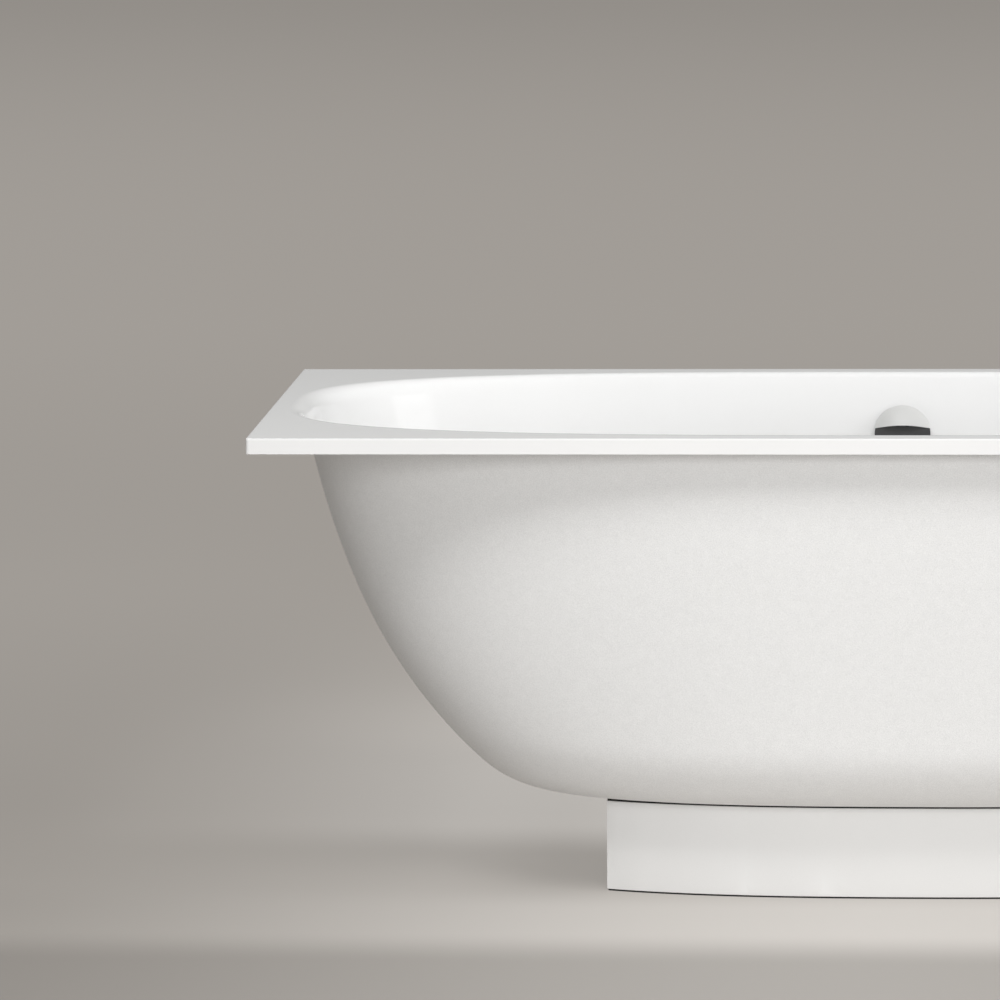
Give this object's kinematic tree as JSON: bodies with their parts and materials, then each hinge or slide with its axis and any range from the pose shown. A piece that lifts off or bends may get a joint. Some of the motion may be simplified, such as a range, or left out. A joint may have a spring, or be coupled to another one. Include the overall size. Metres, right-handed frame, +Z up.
{
  "type": "built-in bathtub",
  "caption": "White enamelled steel built-in bathtub with flat rim, rounded basin, rear overflow knob that lifts the plug, trap, levelling feet and bowed plinth.",
  "frame": {"origin": "centre of the footprint at floor level", "axes": "+X along the bath's length to the right, +Y to the rear wall with the overflow, +Z up"},
  "size_m": [1.5, 0.7, 0.567],
  "materials": {
    "white_enamel": "gloss vitreous enamel inside and on the rim, matt speckled ground coat outside",
    "white_panel": "satin white",
    "black_rubber": "matt",
    "softwood": "sawn, unfinished",
    "galvanised_steel": "zinc coated",
    "satin_chrome": "satin",
    "dark_plastic": "fine matt",
    "grey_plastic": "moulded",
    "white_plastic": "moulded",
    "brass": "turned",
    "bitumen": "dull, pressed grain"
  },
  "bodies": {
    "bath": {"bath_shell": "white_enamel", "plinth_front_panel": "white_panel", "plinth_rear_panel": "white_panel", "plinth_left_panel": "white_panel", "plinth_right_panel": "white_panel", "plinth_gasket": "black_rubber", "plinth_floor_seals": "black_rubber", "rail_cushions": "black_rubber", "overflow_wall_seal": "black_rubber", "overflow_pipe_seals": "black_rubber", "waste_top_seal": "black_rubber", "waste_gasket": "black_rubber", "trap_seals": "black_rubber", "corner_posts": "softwood", "earthing_lug": "galvanised_steel", "post_screws": "galvanised_steel", "foot_rail_left": "galvanised_steel", "foot_rail_right": "galvanised_steel", "panel_brackets": "galvanised_steel", "bracket_bolts": "galvanised_steel", "rail_nuts": "galvanised_steel", "lock_nuts": "galvanised_steel", "waste_flange": "satin_chrome", "overflow_pipe_upper_nut": "dark_plastic", "overflow_pipe_lower_nut": "dark_plastic", "trap_union_nut": "dark_plastic", "trap_outlet_nut": "dark_plastic", "overflow_seat": "grey_plastic", "overflow_body": "grey_plastic", "waste_body": "grey_plastic", "overflow_pipe": "grey_plastic", "trap_body": "white_plastic", "trap_bowl": "white_plastic", "trap_outlet_pipe": "white_plastic", "lever_shaft": "brass", "overflow_cable_gland": "brass", "waste_cable_gland": "brass", "sound_mats": "bitumen"},
    "overflow_knob": {"overflow_cap": "satin_chrome", "overflow_dial": "dark_plastic", "overflow_spindle": "brass", "cable_drum": "dark_plastic"},
    "plug": {"waste_plug": "satin_chrome", "plug_stem": "brass", "plug_seal": "black_rubber"},
    "lever": {"lift_lever": "grey_plastic"},
    "foot_front_left": {"foot_pad_front_left": "black_rubber", "foot_stud_front_left": "galvanised_steel"},
    "foot_front_right": {"foot_pad_front_right": "black_rubber", "foot_stud_front_right": "galvanised_steel"},
    "foot_rear_left": {"foot_pad_rear_left": "black_rubber", "foot_stud_rear_left": "galvanised_steel"},
    "foot_rear_right": {"foot_pad_rear_right": "black_rubber", "foot_stud_rear_right": "galvanised_steel"}
  },
  "joints": [
    {"name": "overflow_turn", "type": "hinge", "parent": "bath", "child": "overflow_knob", "pos_m": [0, 0.30428, 0.491], "axis": [0, -0.9953, 0.097], "range_deg": [0, 90]},
    {"name": "plug_lift", "type": "slide", "parent": "bath", "child": "plug", "axis": [0, 0, 1], "range_m": [0, 0.01]},
    {"name": "lever_swing", "type": "hinge", "parent": "bath", "child": "lever", "pos_m": [0, 0.104, 0.071], "axis": [-1, 0, 0], "range_deg": [0, 24.62]},
    {"name": "foot_front_left_height", "type": "slide", "parent": "bath", "child": "foot_front_left", "axis": [0, 0, 1], "range_m": [-0.01, 0.005]},
    {"name": "foot_front_right_height", "type": "slide", "parent": "bath", "child": "foot_front_right", "axis": [0, 0, 1], "range_m": [-0.01, 0.005]},
    {"name": "foot_rear_left_height", "type": "slide", "parent": "bath", "child": "foot_rear_left", "axis": [0, 0, 1], "range_m": [-0.01, 0.005]},
    {"name": "foot_rear_right_height", "type": "slide", "parent": "bath", "child": "foot_rear_right", "axis": [0, 0, 1], "range_m": [-0.01, 0.005]}
  ],
  "couplings": [
    {"joint": "plug_lift", "follows": "overflow_turn", "m_per_rad": 0.006366},
    {"joint": "lever_swing", "follows": "overflow_turn", "ratio": 0.2735}
  ]
}
